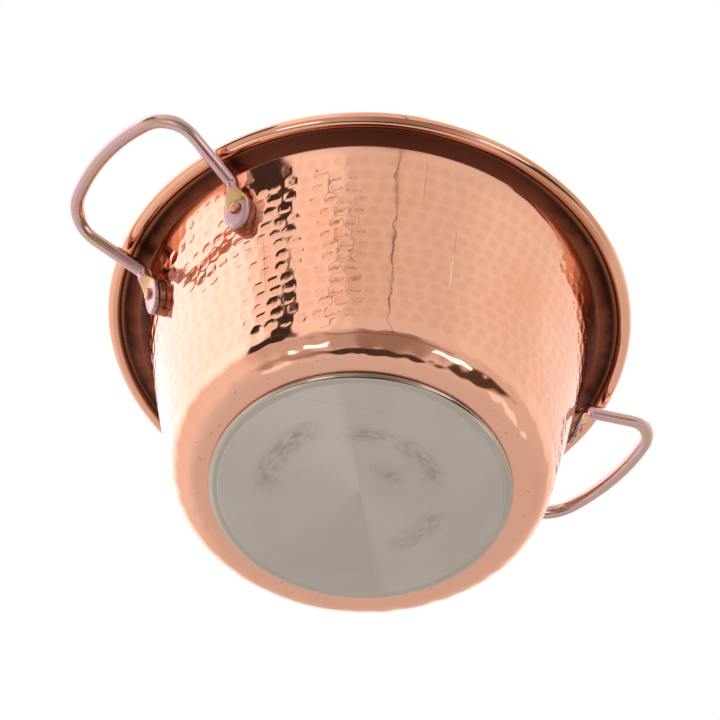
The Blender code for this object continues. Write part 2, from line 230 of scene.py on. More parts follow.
class Material:
    """A node material, built from its Principled shader back."""

    def __init__(self, name, **constants):
        self.made = bpy.data.materials.new(name)
        self.made.use_nodes = True
        self.tree = self.made.node_tree
        self.shader = self.tree.nodes["Principled BSDF"]
        for socket, value in constants.items():
            self.shader.inputs[socket.replace("_", " ")].default_value = value

    def add(self, kind, inputs=(), **settings):
        """A node; each input is given by its name or number, as a value or as another output."""
        return add_node(self.tree, kind, inputs, **settings)

    def position(self):
        return self.add("ShaderNodeTexCoord").outputs["Object"]

    def noise(self, scale, detail=2, vector=None, roughness=0.5):
        inputs = {"Vector": vector or self.position(), "Scale": scale, "Detail": detail,
                  "Roughness": roughness}
        return self.add("ShaderNodeTexNoise", inputs).outputs["Fac"]

    def calc(self, operation, *values):
        return self.add("ShaderNodeMath", dict(enumerate(values)), operation=operation).outputs[0]

    def remap(self, value, low, high, out_low=0, out_high=1):
        inputs = {"Value": value, "From Min": low, "From Max": high, "To Min": out_low,
                  "To Max": out_high}
        node = self.add("ShaderNodeMapRange", inputs, interpolation_type="SMOOTHSTEP")
        return node.outputs["Result"]

    def mix(self, factor, a, b, blend="MIX"):
        node = self.add("ShaderNodeMix", data_type="RGBA", blend_type=blend)
        for index, value in ((0, factor), (6, a), (7, b)):
            connect(self.tree, node.inputs[index], value)
        return node.outputs[2]

    def ramp(self, factor, stops):
        node = self.add("ShaderNodeValToRGB", {"Fac": factor})
        elements = node.color_ramp.elements
        while len(elements) < len(stops):
            elements.new(1)
        for element, (place_share, colour) in zip(elements, stops):
            element.position = place_share
            element.color = (*colour, 1)
        return node.outputs["Color"]

    def window(self, across, along, place_in, side_edge, end_edge):
        """1 within a stretch: its middle and half width in degrees, and its two ends."""
        middle, wide, low, high = place_in
        aside = self.calc("ABSOLUTE", self.calc("SUBTRACT", across, math.radians(middle)))
        wide = math.radians(wide)
        sides = self.remap(aside, wide + side_edge, wide - side_edge)
        ends = self.calc("MULTIPLY", self.remap(along, low - end_edge, low + end_edge),
                         self.remap(along, high + end_edge, high - end_edge))
        return self.calc("MULTIPLY", sides, ends)

    def bump(self, height, strength, distance):
        inputs = {"Height": height, "Strength": strength, "Distance": distance}
        return self.add("ShaderNodeBump", inputs).outputs["Normal"]

    def finish(self, **sockets):
        for name, value in sockets.items():
            connect(self.tree, self.shader.inputs[name.replace("_", " ")], value)
        return self.made


def connect(tree, socket, value):
    if isinstance(value, bpy.types.NodeSocket):
        tree.links.new(value, socket)
    elif isinstance(value, tuple) and len(value) == 3 and len(socket.default_value) == 4:
        socket.default_value = (*value, 1)
    else:
        socket.default_value = value


def add_node(tree, kind, inputs=(), **settings):
    node = tree.nodes.new(kind)
    for name, value in settings.items():
        setattr(node, name, value)
    for name, value in dict(inputs).items():
        connect(tree, node.inputs[name], value)
    return node


# Materials.

COPPER = (0.95, 0.485, 0.325)
COPPER_DEEP = (0.92, 0.41, 0.235)
COPPER_PINK = (0.93, 0.49, 0.345)
COPPER_TARNISH = (0.45, 0.17, 0.10)
COPPER_RIM_SHADE = (0.62, 0.30, 0.18)
MARK_SHADE_TINT = (0.93, 0.90, 0.88)
# The gutter under the flange: brown patina darkened by painted shade, nearly black towards the bead as in
# a shaded crevice, with its own painted shade at the front and a painted reflection strip by the bead.
GUTTER_PATINA_SHADE = (0.22, 0.054, 0.027)
GUTTER_CREVICE_SHADE = (0.032, 0.008, 0.004)
GUTTER_FRONT_SHADE = (0.15, 0.040, 0.022)
GUTTER_EDGE_REFLECTION = (0.25, 0.085, 0.045)

# Straight scratches down the wall and a tarnished patch, in degrees from the front and metres high:
# angle, half width, lowest and highest point. One scratch carries a painted highlight along its lower
# part.
WALL_SCRATCHES = ((-30, 0.10, 0.042, 0.078), (12.3, 0.09, 0.098, 0.1225), (22, 0.09, 0.070, 0.083))
SCRATCH_GLINT = (21.9, 0.16, 0.048, 0.070)
COPPER_GLINT = (1.0, 0.80, 0.58)
TARNISH = (47.5, 5.5, 0.060, 0.084)
# Where the bead's outer side carries a painted shade that stands in for a dark reflection: angle, half
# width, lowest and highest point.
RIM_PAINTED_SHADE = (46, 17, 0.1255, 0.1380)


def copper_material():
    """Polished copper: warmer patches, tarnish specks, fine polishing lines, a satin bottom, painted shade
    in the hammer marks and on the bead, a painted highlight along one scratch, and a dull brown gutter
    under the flange, where no polishing wheel reaches, its patina darkened by painted shade and lit by a
    painted reflection strip by the bead."""
    m = Material("hammered_copper", Metallic=1)
    spot = m.add("ShaderNodeSeparateXYZ", {"Vector": m.position()}).outputs
    height = spot["Z"]
    radius = m.calc("SQRT", m.calc("ADD", m.calc("POWER", spot["X"], 2), m.calc("POWER", spot["Y"], 2)))
    bottom = m.remap(height, 0.0046, 0.0032)
    patches = m.remap(m.noise(22, 3), 0.42, 0.74)
    specks = m.calc("MULTIPLY", m.remap(m.noise(420, 1), 0.735, 0.76), bottom)
    colour = m.mix(m.calc("MULTIPLY", patches, 0.5), COPPER, COPPER_DEEP)
    colour = m.mix(m.calc("MULTIPLY", bottom, 0.8), colour, COPPER_PINK)
    colour = m.mix(m.calc("MULTIPLY", specks, 0.6), colour, COPPER_TARNISH)
    smudge = m.remap(m.noise(55, 4), 0.35, 0.75, 0.045, 0.10)
    roughness = m.calc("MAXIMUM", smudge, m.calc("MULTIPLY", bottom, 0.24))
    # Painted shade: a slightly darker tint inside the hammer marks, as if the hollows were shaded.
    colour = m.mix(m.add("ShaderNodeAttribute", attribute_name="beaten").outputs["Fac"], colour,
                   m.mix(1, colour, MARK_SHADE_TINT, "MULTIPLY"))
    angle = m.calc("WRAP", m.calc("SUBTRACT", m.calc("ARCTAN2", spot["Y"], spot["X"]), FRONT),
                   math.pi, -math.pi)
    tarnish = m.window(angle, height, TARNISH, 0.06, 0.008)
    colour = m.mix(m.calc("MULTIPLY", tarnish, 0.55), colour, COPPER_DEEP)
    # Painted shade on the bead's outer side, standing in for a dark reflection there.
    painted_rim_shade = m.calc("MULTIPLY", m.window(angle, height, RIM_PAINTED_SHADE, 0.10, 0.0004),
                      m.remap(radius, RIM_RADIUS - 0.0060, RIM_RADIUS - 0.0045))
    colour = m.mix(m.calc("MULTIPLY", painted_rim_shade, 0.75), colour, COPPER_RIM_SHADE)
    for scratch in WALL_SCRATCHES:
        line = m.window(angle, height, scratch, 0.0008, 0.003)
        colour = m.mix(m.calc("MULTIPLY", line, 0.65), colour, COPPER_TARNISH)
    # A painted highlight along the lower part of one scratch, broken up by noise.
    line = m.window(angle, height, SCRATCH_GLINT, 0.0010, 0.003)
    broken = m.remap(m.noise(160, 1), 0.35, 0.60)
    colour = m.mix(m.calc("MULTIPLY", line, broken), colour, COPPER_GLINT)
    outward = m.calc("SUBTRACT", radius, WALL_TOP_RADIUS + TOP_SHIFT)
    slope = FLANGE_RISE / (FLANGE_WIDTH - TOP_SHIFT)
    sheet_middle = m.calc("ADD", m.calc("MULTIPLY", outward, slope), WALL_TOP_HEIGHT + 0.0007)
    under = m.remap(m.calc("SUBTRACT", sheet_middle, height), -0.0001, 0.0001)
    gutter = m.calc("MULTIPLY", m.remap(outward, -0.0004, 0.0001), m.remap(outward, 0.0120, 0.0102))
    gutter = m.calc("MULTIPLY", m.calc("MULTIPLY", gutter, under), m.remap(height, 0.1255, 0.1262))
    # Painted shade: the gutter's patina darkens towards the bead as a shaded crevice would, and the front
    # takes its own painted shade.
    uneven = m.calc("ADD", outward, m.remap(m.noise(90, 3), 0.3, 0.7, -0.0014, 0.0014))
    brown = m.mix(m.remap(uneven, -0.0010, 0.0075), GUTTER_PATINA_SHADE, GUTTER_CREVICE_SHADE)
    aside = m.remap(m.calc("ABSOLUTE", angle), math.radians(15), math.radians(60))
    brown = m.mix(aside, GUTTER_FRONT_SHADE, brown)
    # A painted reflection: a lighter strip of the flange next to the bead, starting further out at the
    # front than at the sides.
    edge_at = m.remap(aside, 0, 1, 0.0090, 0.0079)
    bead_reflection_strip = m.remap(m.calc("SUBTRACT", outward, edge_at), -0.0012, 0.0010)
    brown = m.mix(bead_reflection_strip, brown, GUTTER_EDGE_REFLECTION)
    colour = m.mix(gutter, colour, brown)
    roughness = m.calc("MAXIMUM", roughness, m.calc("MULTIPLY", gutter, 0.34))
    squashed = m.add("ShaderNodeVectorMath", {0: m.position(), 1: (60, 60, 1500)},
                     operation="MULTIPLY").outputs[0]
    lines = m.noise(1, 2, squashed)
    normal = m.bump(lines, 0.10, 0.00003)
    return m.finish(Base_Color=colour, Roughness=roughness, Normal=normal)


STEEL = (0.60, 0.52, 0.455)
STEEL_SMUDGED = (0.36, 0.31, 0.255)
# Smudges on the disc that follow arcs: middle, in degrees from -Y towards +X, half width and radii.
SMUDGES = ((-96, 30, 0.0430, 0.0530), (-4, 44, 0.0345, 0.0430), (94, 23, 0.0365, 0.0450),
           (5, 26, 0.0150, 0.0230))
# A painted sheen: the lathe-turned face's anisotropic highlight is painted into its colour as lighter and
# darker sectors, given by share of a turn and brightness, both from a radial edge on.
SHEEN_SECTORS = ((0.0, 0.79), (0.487, 0.99), (0.500, 0.885), (0.985, 0.875), (1.0, 0.79))
SECTOR_EDGE = math.radians(135)
DISC_SCRATCH = ((-0.0617, -0.0301), (-0.0240, -0.0493))


def steel_material():
    """Satin stainless steel, turned on a lathe, with handling smudges, a scratch, a painted sheen in
    lighter and darker sectors and a polished shoulder."""
    m = Material("satin_steel", Metallic=1)
    tangent = m.add("ShaderNodeTangent", direction_type="RADIAL", axis="Z").outputs[0]
    spot = m.add("ShaderNodeSeparateXYZ", {"Vector": m.position()})
    x, y = spot.outputs["X"], spot.outputs["Y"]
    radius = m.calc("SQRT", m.calc("ADD", m.calc("MULTIPLY", x, x), m.calc("MULTIPLY", y, y)))
    angle = m.calc("ARCTAN2", x, m.calc("MULTIPLY", y, -1))
    shoulder = m.remap(radius, 0.0718, 0.0726)
    streaks = m.add("ShaderNodeCombineXYZ", {"X": m.calc("MULTIPLY", radius, 520),
                                             "Y": m.calc("MULTIPLY", angle, 7)}).outputs[0]
    grains = m.calc("MULTIPLY", m.remap(m.noise(1, 4, streaks, 0.65), 0.30, 0.62),
                    m.remap(m.noise(60, 4, roughness=0.6), 0.28, 0.54))
    arcs = m.calc("ADD", 0, 0)
    for arc_place in SMUDGES:
        arcs = m.calc("MAXIMUM", arcs, m.window(angle, radius, arc_place, 0.16, 0.0045))
    smudge = m.calc("MULTIPLY", arcs, grains)
    # Painted sheen: the disc's colour is brighter in some sectors and darker in others.
    turn = m.calc("FRACT", m.calc("MULTIPLY", m.calc("SUBTRACT", angle, SECTOR_EDGE), 1 / math.tau))
    sectors = m.ramp(turn, [(share, (level,) * 3) for share, level in SHEEN_SECTORS])
    colour = m.mix(m.calc("SUBTRACT", 1, shoulder), (0.92, 0.90, 0.87),
                   m.mix(1, (1.15, 1.15, 1.15), sectors, "MULTIPLY"))
    cloud = m.remap(m.noise(24, 3), 0.3, 0.7, 0.0, 0.16)
    colour = m.mix(1, m.mix(cloud, STEEL, STEEL_SMUDGED), colour, "MULTIPLY")
    colour = m.mix(m.calc("MULTIPLY", smudge, 0.75), colour, STEEL_SMUDGED)
    (x0, y0), (x1, y1) = DISC_SCRATCH
    length = math.hypot(x1 - x0, y1 - y0)
    ux, uy = (x1 - x0) / length, (y1 - y0) / length
    along = m.calc("ADD", m.calc("MULTIPLY", x, ux), m.calc("MULTIPLY", y, uy))
    aside = m.calc("ADD", m.calc("MULTIPLY", x, -uy), m.calc("MULTIPLY", y, ux))
    scratch_place = (math.degrees(y0 * ux - x0 * uy), math.degrees(0.00012), x0 * ux + y0 * uy,
                     x1 * ux + y1 * uy)
    scratch = m.window(aside, along, scratch_place, 0.00012, 0.006)
    colour = m.mix(m.calc("MULTIPLY", scratch, 0.45), colour, STEEL_SMUDGED)
    turned = m.add("ShaderNodeCombineXYZ", {"X": m.calc("MULTIPLY", radius, 1900)}).outputs[0]
    lines = m.noise(1, 3, turned)
    colour = m.mix(m.remap(lines, 0.35, 0.65, 0, 0.07), colour, STEEL_SMUDGED)
    satin = m.calc("ADD", m.remap(m.noise(70, 3), 0.3, 0.7, 0.27, 0.34), m.calc("MULTIPLY", smudge, 0.10))
    roughness = m.calc("SUBTRACT", satin, m.calc("MULTIPLY", shoulder, 0.20))
    grained = m.calc("MULTIPLY", m.calc("SUBTRACT", 1, shoulder), 0.5)
    normal = m.bump(lines, 0.08, 0.00004)
    return m.finish(Base_Color=colour, Roughness=roughness, Tangent=tangent, Normal=normal,
                    Anisotropic=grained)


ZINC_STOPS = ((0.00, (0.66, 0.46, 0.41)), (0.22, (0.68, 0.42, 0.42)), (0.42, (0.67, 0.46, 0.37)),
              (0.55, (0.74, 0.42, 0.37)), (0.70, (0.62, 0.46, 0.33)), (0.84, (0.68, 0.42, 0.43)),
              (1.00, (0.62, 0.45, 0.39)))
PALM_STOPS = ((0.00, (0.58, 0.39, 0.41)), (0.45, (0.64, 0.41, 0.38)), (0.60, (0.74, 0.47, 0.20)),
              (0.76, (0.74, 0.45, 0.20)), (0.86, (0.68, 0.34, 0.38)), (1.00, (0.66, 0.40, 0.38)))


def zinc_material():
    """Yellow zinc plating on steel: the tint drifts from lilac through beige to a greenish yellow."""
    m = Material("yellow_zinc", Metallic=1)
    wide = m.noise(34, 2)
    drift = m.remap(wide, 0.28, 0.72)
    tint = m.ramp(drift, ZINC_STOPS)
    height = m.add("ShaderNodeSeparateXYZ", {"Vector": m.position()}).outputs["Z"]
    up_palm = m.remap(height, RIVET_HEIGHT - PALM_BELOW_RIVET, RIVET_HEIGHT + NECK_ABOVE_RIVET)
    palm_drift = m.calc("ADD", up_palm, m.remap(m.noise(150, 2), 0.3, 0.7, -0.10, 0.10))
    palm_tint = m.ramp(palm_drift, PALM_STOPS)
    on_palm = m.remap(height, RIVET_HEIGHT + NECK_ABOVE_RIVET + ROD_RADIUS,
                      RIVET_HEIGHT + NECK_ABOVE_RIVET - ROD_RADIUS)
    colour = m.mix(on_palm, tint, palm_tint)
    grain = m.noise(900, 2)
    colour = m.mix(m.remap(grain, 0.62, 0.80, 0, 0.35), colour, (0.36, 0.33, 0.30))
    roughness = m.remap(m.noise(160, 3), 0.3, 0.75, 0.14, 0.28)
    roughness = m.calc("ADD", roughness, m.calc("MULTIPLY", on_palm, 0.14))
    normal = m.bump(m.noise(700, 3), 0.08, 0.0001)
    return m.finish(Base_Color=colour, Roughness=roughness, Normal=normal)


def rivet_material():
    """Copper that was hammered flat and handled: duller, redder and pitted."""
    m = Material("rivet_copper", Metallic=1)
    colour = m.mix(m.remap(m.noise(300, 3), 0.35, 0.75), (0.85, 0.43, 0.28), (0.62, 0.25, 0.14))
    roughness = m.remap(m.noise(500, 2), 0.3, 0.7, 0.22, 0.42)
    return m.finish(Base_Color=colour, Roughness=roughness, Normal=m.bump(m.noise(900, 3), 0.4, 0.0002))


def shaded_pad_material():
    """Copper under the palms: brown tarnish that nobody polishes, darkened further by painted shade from
    the palms over it, and darker in spots.
    """
    m = Material("pad_copper_shaded", Metallic=1)
    # Painted shade and tarnish: the pad is drawn dark brown, as if shaded by the palm above it.
    colour = m.mix(m.remap(m.noise(260, 3), 0.35, 0.7), (0.52, 0.23, 0.14), (0.26, 0.095, 0.055))
    roughness = m.remap(m.noise(400, 2), 0.3, 0.7, 0.28, 0.44)
    return m.finish(Base_Color=colour, Roughness=roughness, Normal=m.bump(m.noise(700, 3), 0.3, 0.0002))


def plain_metal(name, colour, roughness):
    """A rolled metal that stays out of sight inside the pot's base or rim."""
    m = Material(name, Metallic=1)
    shade = tuple(c * 0.8 for c in colour)
    tone = m.mix(m.remap(m.noise(120, 3), 0.3, 0.7), colour, shade)
    rough = m.remap(m.noise(300, 2), 0.3, 0.7, roughness, roughness + 0.12)
    return m.finish(Base_Color=tone, Roughness=rough, Normal=m.bump(m.noise(800, 2), 0.2, 0.0001))


# The copper shell.

FOOT_TURN = math.pi / 2 - WALL_LEAN
FOOT_LENGTH = FOOT_FILLET * FOOT_TURN
FOOT_TANGENT = FOOT_FILLET * math.tan(FOOT_TURN / 2)
FOOT_CENTRE = (WALL_FOOT_RADIUS - FOOT_TANGENT, BASE_STEP + FOOT_FILLET)
RNG = np.random.default_rng(8)


def mark_rows():
    """Each row's distance up the wall, its count of marks, and each mark's own small differences."""
    rows = []
    for k in range(MARK_ROWS):
        up = FIRST_ROW + ROW_PITCH * k + ROW_PITCH_GROWTH * k * k / 2
        pitch = TOP_MARK_PITCH if k == MARK_ROWS - 1 else MARK_PITCH
        radius = WALL_FOOT_RADIUS + up * math.sin(WALL_LEAN)
        count = round(math.tau * radius / pitch)
        rows.append({"up": up, "count": count, "phase": RNG.random(), "width": pitch / MARK_PITCH,
                     "shift": RNG.normal(0, 0.00035, (count, 2)),
                     "size": RNG.normal(1, 0.06, (count, 2)),
                     "depth": RNG.normal(1, 0.16, count) * (0.5 if k == MARK_ROWS - 1 else 1)})
    return rows


ROWS = mark_rows()


def wave_terms(count, longest, shortest):
    """Terms of a smooth unevenness: turns round the pot, turns per metre up it, phase and weight."""
    lengths = longest * (shortest / longest) ** (np.arange(count) / (count - 1))
    ways = RNG.uniform(0, math.pi, count)
    around = np.round(math.tau * WALL_FOOT_RADIUS * np.cos(ways) / lengths)
    return around, math.tau * np.sin(ways) / lengths, RNG.uniform(0, math.tau, count), lengths / longest


WAVES = wave_terms(24, 0.040, 0.0085)


def waves(angle, along):
    total = np.zeros_like(angle)
    for around, up, phase, weight in zip(*WAVES):
        total += (0.35 + weight) * np.cos(around * angle + up * along + phase)
    return total / 3


def mark_spread(row, angle, up):
    """How far points lie from the middle of their mark of that row, as a share of its size, and the
    mark's number."""
    radius = WALL_FOOT_RADIUS + up * math.sin(WALL_LEAN)
    spot = angle / math.tau * row["count"] + row["phase"]
    index = np.floor(spot).astype(int) % row["count"]
    shift, size = row["shift"][index], row["size"][index]
    x = (spot - np.floor(spot) - 0.5) * math.tau * radius / row["count"] - shift[..., 0]
    y = up - row["up"] - shift[..., 1]
    wide = MARK_HALF_WIDTH * row["width"] * size[..., 0]
    tall = MARK_HALF_HEIGHT * size[..., 1]
    out = np.abs(x / wide) ** MARK_SQUARENESS + np.abs(y / tall) ** MARK_SQUARENESS
    return out ** (1 / MARK_SQUARENESS), index


def inset(angle, along):
    """How far the copper is beaten in, by the angle and the distance along from the foot's start."""
    up = FOOT_TANGENT + along - FOOT_LENGTH
    foot = smoothstep(0, FOOT_LENGTH * 0.35, along) * smoothstep(FIRST_ROW + 0.004, FIRST_ROW - 0.004, up)
    depth = waves(angle, along) * (FOOT_WAVE_DEPTH * foot + WALL_WAVE_DEPTH * (1 - foot) * (along > 0))
    from_front = (np.degrees(angle - FRONT) + 180) % 360 - 180
    side_depth = MARK_DEPTH * np.interp(from_front, *zip(*DEPTH_BY_SIDE))
    for row in ROWS:
        out, index = mark_spread(row, angle, up)
        mark = 0.75 * smoothstep(1.0, 0.5, out) + 0.25 * np.clip(1 - out * out, 0, 1)
        depth = depth + side_depth * row["depth"][index] * mark
    return depth


def beaten(angle, along):
    """1 inside the marks and 0 between them."""
    up = FOOT_TANGENT + along - FOOT_LENGTH
    return sum(smoothstep(1.02, 0.62, mark_spread(row, angle, up)[0]) for row in ROWS)


def flare(up):
    """How far the wall stands outside its straight line, from the foot's end on."""
    rise = np.maximum(up - FLARE_START, 0) / (WALL_LENGTH - FLARE_START)
    bend = ((up - BEND_MIDDLE) / BEND_REACH) ** 3 - ((FOOT_TANGENT - BEND_MIDDLE) / BEND_REACH) ** 3
    drawn_in = (up - FOOT_TANGENT) / (FLARE_START - FOOT_TANGENT)
    return FLARE * rise ** 2 + BEND * bend - WAIST * drawn_in


TOP_SHIFT = flare(WALL_LENGTH)


def beaten_point(angle, along):
    """Points of the foot and the wall, as beaten."""
    tilt = np.clip(along / FOOT_FILLET, 0, FOOT_TURN)
    down = math.pi / 2 - tilt
    up = np.maximum(along - FOOT_LENGTH, 0)
    radius = FOOT_CENTRE[0] + FOOT_FILLET * np.cos(down) + up * math.sin(WALL_LEAN)
    height = FOOT_CENTRE[1] - FOOT_FILLET * np.sin(down) + up * math.cos(WALL_LEAN)
    depth = inset(angle, along)
    radius = radius - depth * np.cos(down) + flare(up + FOOT_TANGENT)
    height = height + depth * np.sin(down)
    return np.stack([radius * np.cos(angle), radius * np.sin(angle), height], -1)


def beaten_normal(angle, along):
    step = 0.00025
    around = step / WALL_FOOT_RADIUS
    across = beaten_point(angle + around, along) - beaten_point(angle - around, along)
    upward = beaten_point(angle, along + step) - beaten_point(angle, along - step)
    normal = np.cross(across, upward)
    return normal / np.linalg.norm(normal, axis=-1, keepdims=True)


def bead_climb(offset):
    """The sheet's way up from the flange to the bead's top, that far from its under side."""
    outside, inside = BEAD_RADIUS + CURL_GAP, BEAD_RADIUS - COPPER_SHEET
    points = []
    for share in np.arange(9) / 9:
        turn = math.pi * (1 - share / 2)
        radius = outside + (inside - outside) * share + offset
        points.append(Vector((BEAD_CENTRE[0] + radius * math.cos(turn),
                              BEAD_CENTRE[1] + radius * math.sin(turn))))
    return points


def flange_corner():
    """The sheet's under side as (radius, height): a point below the wall's top, the wall's top and
    the flange's end."""
    wall_top = Vector((WALL_TOP_RADIUS + TOP_SHIFT, WALL_TOP_HEIGHT))
    step = 0.0005
    lean = math.tan(WALL_LEAN) + (TOP_SHIFT - flare(WALL_LENGTH - step)) / step
    end = Vector((bead_climb(0)[0].x + FLANGE_OVERLAP, WALL_TOP_HEIGHT + FLANGE_RISE))
    return wall_top - Vector((lean, 1)) * CORNER_LEG, wall_top, end


def under_side():
    """The sheet's under side past the wall, to the curl's free edge."""
    below, wall_top, flange_end = flange_corner()
    climb = bead_climb(0)
    points = fillet(below, wall_top, flange_end, CORNER_RADIUS, 6)
    points += fillet(wall_top, flange_end, climb[0], 0.0003, 3)
    points += climb
    points += [Vector(p) for p in arc(BEAD_CENTRE, BEAD_RADIUS - COPPER_SHEET, math.pi / 2,
                                      CURL_END_ANGLE, CURL_STEPS)]
    return np.array([(p.x, p.y) for p in points])


def upper_side():
    """The sheet's upper side over the same stretch, up to the bead's top."""
    below, wall_top, flange_end = flange_corner()
    wall_way = (wall_top - below).normalized()
    flange_way = (flange_end - wall_top).normalized()
    wall_left = Vector((-wall_way.y, wall_way.x))
    flange_left = Vector((-flange_way.y, flange_way.x))
    spread = COPPER_SHEET / (1 + wall_left.dot(flange_left))
    corner = wall_top + (wall_left + flange_left) * spread
    climb = bead_climb(COPPER_SHEET)
    crease = corner + flange_way * ((climb[0].x - corner.x) / flange_way.x)
    points = fillet(corner - wall_way * CORNER_LEG, corner, crease, CORNER_RADIUS + COPPER_SHEET, 6)
    points += fillet(corner, crease, climb[0], 0.0006, 4)
    points += climb
    return np.array([(p.x, p.y) for p in points])


def copper_rings():
    """Rings from the bottom's middle outside, up and round the curl, and back down inside."""
    rings = [ring(0, BASE_STEP, 1), ring(0.060, BASE_STEP, COARSE_SIDES),
             ring(0.0770, BASE_STEP, MIDDLE_SIDES), ring(0.0800, BASE_STEP, MIDDLE_SIDES)]
    normals = [np.zeros_like(r) for r in rings]
    marks = [np.zeros(len(r)) for r in rings]
    wall_end = FOOT_LENGTH + WALL_LENGTH - FOOT_TANGENT - CORNER_RADIUS
    turns = np.arange(FINE_SIDES) * math.tau / FINE_SIDES
    foot_stops = np.linspace(0, FOOT_LENGTH, 15)[:-1]
    wall_stops = np.linspace(FOOT_LENGTH, wall_end, 85)
    for along in np.concatenate([foot_stops, wall_stops]):
        stops = np.full(FINE_SIDES, along)
        rings.append(beaten_point(turns, stops))
        normals.append(beaten_normal(turns, stops))
        marks.append(beaten(turns, stops))
    under = under_side()
    for i, (radius, height) in enumerate(under):
        hidden = i > len(under) - CURL_STEPS
        rings.append(ring(radius, height, COARSE_SIDES if hidden else MIDDLE_SIDES))
    edge = arc(BEAD_CENTRE, BEAD_RADIUS, CURL_END_ANGLE, math.pi / 2, 34)
    rings += [ring(radius, height, MIDDLE_SIDES) for radius, height in edge]
    rings += [ring(radius, height, MIDDLE_SIDES) for radius, height in upper_side()[::-1]]
    foot_radius = FOOT_FILLET - COPPER_SHEET
    low = [(FOOT_CENTRE[0] + foot_radius * math.cos(t), FOOT_CENTRE[1] + foot_radius * math.sin(t))
           for t in np.linspace(-WALL_LEAN, -math.pi / 2, 12)]
    wall = []
    for up in np.linspace(WALL_LENGTH - 0.002, FOOT_TANGENT, 25)[:-1]:
        wall.append((WALL_FOOT_RADIUS + up * math.sin(WALL_LEAN) + flare(up) - COPPER_SHEET,
                     BASE_STEP + up * math.cos(WALL_LEAN)))
    rings += [ring(radius, height, COARSE_SIDES) for radius, height in wall + low]
    floor_height = BASE_STEP + COPPER_SHEET
    rings += [ring(FOOT_CENTRE[0] * share, floor_height, COARSE_SIDES) for share in (0.8, 0.5, 0.2)]
    rings.append(ring(0, floor_height, 1))
    normals += [np.zeros_like(r) for r in rings[len(normals):]]
    marks += [np.zeros(len(r)) for r in rings[len(marks):]]
    return rings, normals, marks


def make_copper_shell(material):
    rings, normals, marks = copper_rings()
    made = new_piece("copper_shell", np.concatenate(rings), skin_faces(rings), material,
                     math.radians(50))
    made.data.normals_split_custom_set_from_vertices([tuple(n) for n in np.concatenate(normals)])
    mask = made.data.attributes.new("beaten", "FLOAT", "POINT")
    mask.data.foreach_set("value", np.concatenate(marks))
    place(made, "copper", "copper_body")


# The steel cap.

def make_steel_cap(material):
    shoulder = (CAP_RADIUS - CAP_SHOULDER_WIDTH, CAP_TOP - CAP_LIP_HEIGHT)
    profile = [(0, 0), (0.02, 0), (0.045, 0), (0.062, 0)]
    profile += [(shoulder[0] + aside, deep) for aside, deep in SHOULDER_GROOVE]
    start = profile[-1][0]
    for turn in np.linspace(-math.pi / 2, 0, 17)[1:]:
        profile.append((start + (CAP_RADIUS - start) * math.cos(turn), shoulder[1] * (1 + math.sin(turn))))
    profile += [(CAP_RADIUS, CAP_TOP - 0.0002), (CAP_RADIUS - 0.0002, CAP_TOP),
                (CAP_RADIUS - 0.0008, CAP_TOP), (CAP_RADIUS - 0.0009, CAP_TOP - 0.0005),
                (CAP_RADIUS - 0.006, 0.0010), (0.03, 0.0010), (0, 0.0010)]
    rings = [ring(r, z, 1 if r == 0 else 192) for r, z in profile]
    made = new_piece("steel_cap", np.concatenate(rings), skin_faces(rings), material,
                     math.radians(50))
    place(made, "base_steel", "base_cap")


# Handles, pads and rivets.

def wall_axes(turn):
    """A rivet's place on the wall's outer face, and the axes across, up and out of the wall."""
    radial = Vector((math.cos(turn), math.sin(turn), 0))
    upright = Vector((0, 0, 1))
    across = Vector((-math.sin(turn), math.cos(turn), 0))
    up = radial * math.sin(WALL_LEAN) + upright * math.cos(WALL_LEAN)
    out = radial * math.cos(WALL_LEAN) - upright * math.sin(WALL_LEAN)
    return radial * RIVET_WALL_RADIUS + upright * RIVET_HEIGHT, across, up, out


def on_wall(turn):
    origin, across, up, out = wall_axes(turn)
    made = Matrix((across, up, out)).transposed().to_4x4()
    made.translation = origin
    return made


def palm_sections():
    """Sections of a flattened end from its tip to the neck: height above the rivet, half width,
    half thickness and how far the palm has become rod, from 0 to 1."""
    sections = []
    rim = 0.0006
    for edge_share in (0.0, 0.35, 0.75):
        height = -PALM_BELOW_RIVET + rim * edge_share ** 2
        sections.append((height, PALM_HALF_WIDTH * (0.30 + 0.12 * edge_share),
                         PALM_THICKNESS / 2 * (0.55 + 0.4 * edge_share), 0))
    for turn in np.linspace(0.42, math.pi / 2, 14):
        sections.append((-PALM_BELOW_RIVET * math.cos(turn),
                         PALM_HALF_WIDTH * math.sin(turn) ** 0.8, PALM_THICKNESS / 2, 0))
    for along in np.arange(0, 13) / 12:
        share = along * along * (3 - 2 * along)
        sections.append((PALM_FULL_WIDTH_LENGTH + PALM_TAPER_LENGTH * along,
                         PALM_HALF_WIDTH + (ROD_RADIUS - PALM_HALF_WIDTH) * share,
                         PALM_THICKNESS / 2 + (ROD_RADIUS - PALM_THICKNESS / 2) * share ** 1.5,
                         share))
    return sections


